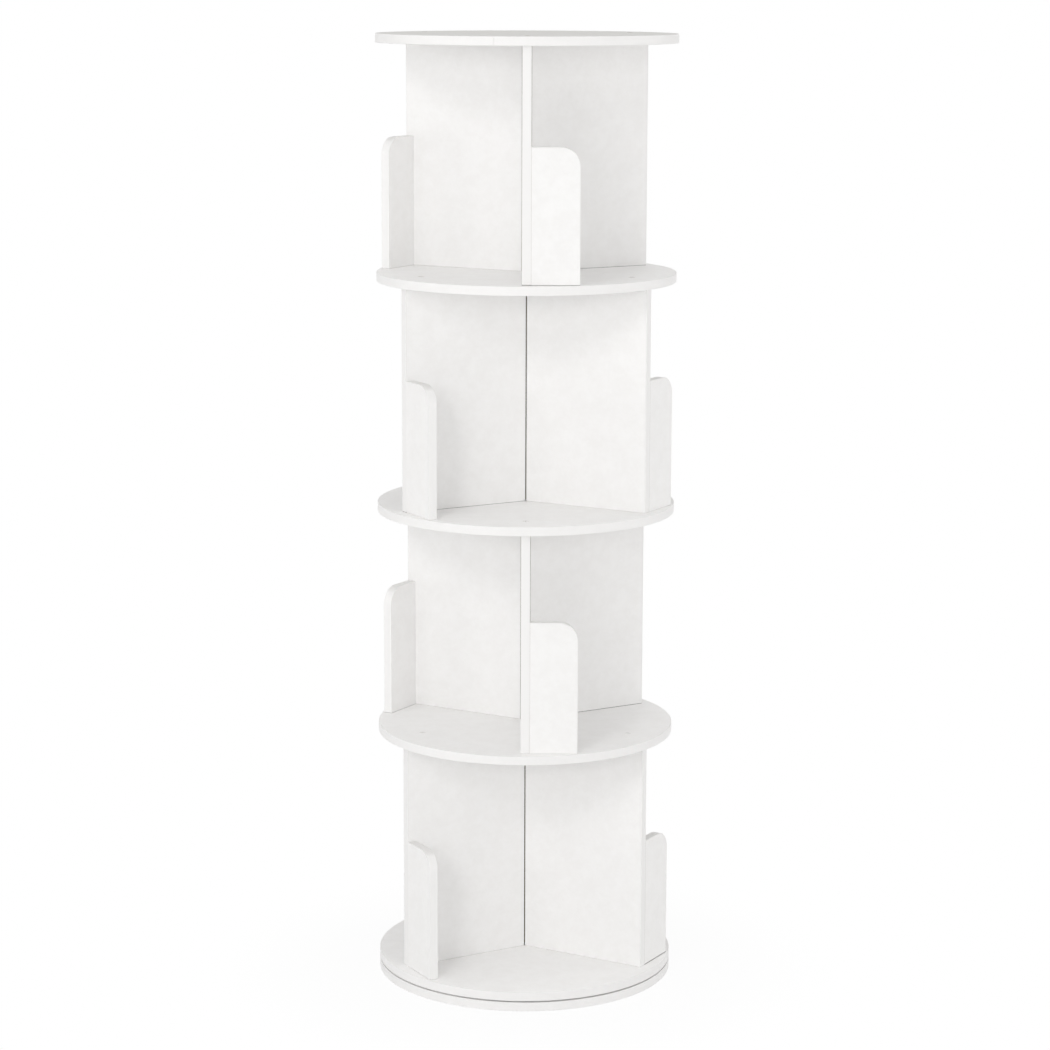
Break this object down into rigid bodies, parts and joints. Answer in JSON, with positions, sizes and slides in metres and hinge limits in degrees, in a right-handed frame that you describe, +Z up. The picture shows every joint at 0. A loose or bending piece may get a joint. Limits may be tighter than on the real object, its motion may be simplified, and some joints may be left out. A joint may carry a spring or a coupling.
{
  "type": "revolving bookcase tower",
  "caption": "Tall round bookcase of stacked discs on radial uprights with half-height book stops; the tower turns freely on a fixed base disc.",
  "frame": {"origin": "centre of the base disc's underside, on the floor", "axes": "+Z up along the axis that the tower turns on; -Y is the front, where one upright of the top tier points; +X is the right, seen from the front"},
  "size_m": [0.4, 0.4, 1.275],
  "materials": {
    "white_board": "white melamine facing on particle board, satin",
    "rim_strip": "white plastic edge strip, satin",
    "screw_steel": "zinc plated, the heads lacquered white",
    "dowel_wood": "plain beech",
    "ring_aluminium": "as turned",
    "ball_steel": "polished",
    "cage_plastic": "plain nylon"
  },
  "bodies": {
    "base": {"base_disc": "white_board", "base_disc_strip": "rim_strip", "bearing_outer_ring": "ring_aluminium", "bearing_outer_ring_screws": "screw_steel"},
    "tower": {"bearing_inner_ring": "ring_aluminium", "bearing_inner_ring_screws": "screw_steel", "bottom_tier_back_book_stop": "white_board", "bottom_tier_back_upright": "white_board", "bottom_tier_book_stop_dowels": "dowel_wood", "bottom_tier_left_book_stop": "white_board", "bottom_tier_left_upright": "white_board", "bottom_tier_right_book_stop": "white_board", "bottom_tier_right_upright": "white_board", "bottom_tier_upright_dowels": "dowel_wood", "lower_shelf_disc": "white_board", "lower_shelf_disc_screws": "screw_steel", "lower_shelf_disc_strip": "rim_strip", "lower_tier_book_stop_dowels": "dowel_wood", "lower_tier_front_book_stop": "white_board", "lower_tier_front_upright": "white_board", "lower_tier_left_book_stop": "white_board", "lower_tier_left_upright": "white_board", "lower_tier_right_book_stop": "white_board", "lower_tier_right_upright": "white_board", "lower_tier_upright_dowels": "dowel_wood", "middle_shelf_disc": "white_board", "middle_shelf_disc_screws": "screw_steel", "middle_shelf_disc_strip": "rim_strip", "top_disc": "white_board", "top_disc_screws": "screw_steel", "top_disc_strip": "rim_strip", "top_tier_book_stop_dowels": "dowel_wood", "top_tier_front_book_stop": "white_board", "top_tier_front_upright": "white_board", "top_tier_left_book_stop": "white_board", "top_tier_left_upright": "white_board", "top_tier_right_book_stop": "white_board", "top_tier_right_upright": "white_board", "top_tier_upright_dowels": "dowel_wood", "turntable_disc": "white_board", "turntable_disc_screws": "screw_steel", "turntable_disc_strip": "rim_strip", "upper_shelf_disc": "white_board", "upper_shelf_disc_screws": "screw_steel", "upper_shelf_disc_strip": "rim_strip", "upper_tier_back_book_stop": "white_board", "upper_tier_back_upright": "white_board", "upper_tier_book_stop_dowels": "dowel_wood", "upper_tier_left_book_stop": "white_board", "upper_tier_left_upright": "white_board", "upper_tier_right_book_stop": "white_board", "upper_tier_right_upright": "white_board", "upper_tier_upright_dowels": "dowel_wood"},
    "ball_set": {"bearing_balls": "ball_steel", "bearing_ball_cage": "cage_plastic"}
  },
  "joints": [
    {"name": "tower_spin", "type": "hinge", "parent": "base", "child": "tower", "pos_m": [0, 0, 0.013], "axis": [0, 0, 1], "continuous": true},
    {"name": "ball_set_spin", "type": "hinge", "parent": "base", "child": "ball_set", "pos_m": [0, 0, 0.013], "axis": [0, 0, 1], "continuous": true}
  ],
  "couplings": [
    {"joint": "ball_set_spin", "follows": "tower_spin", "ratio": 0.4834}
  ]
}
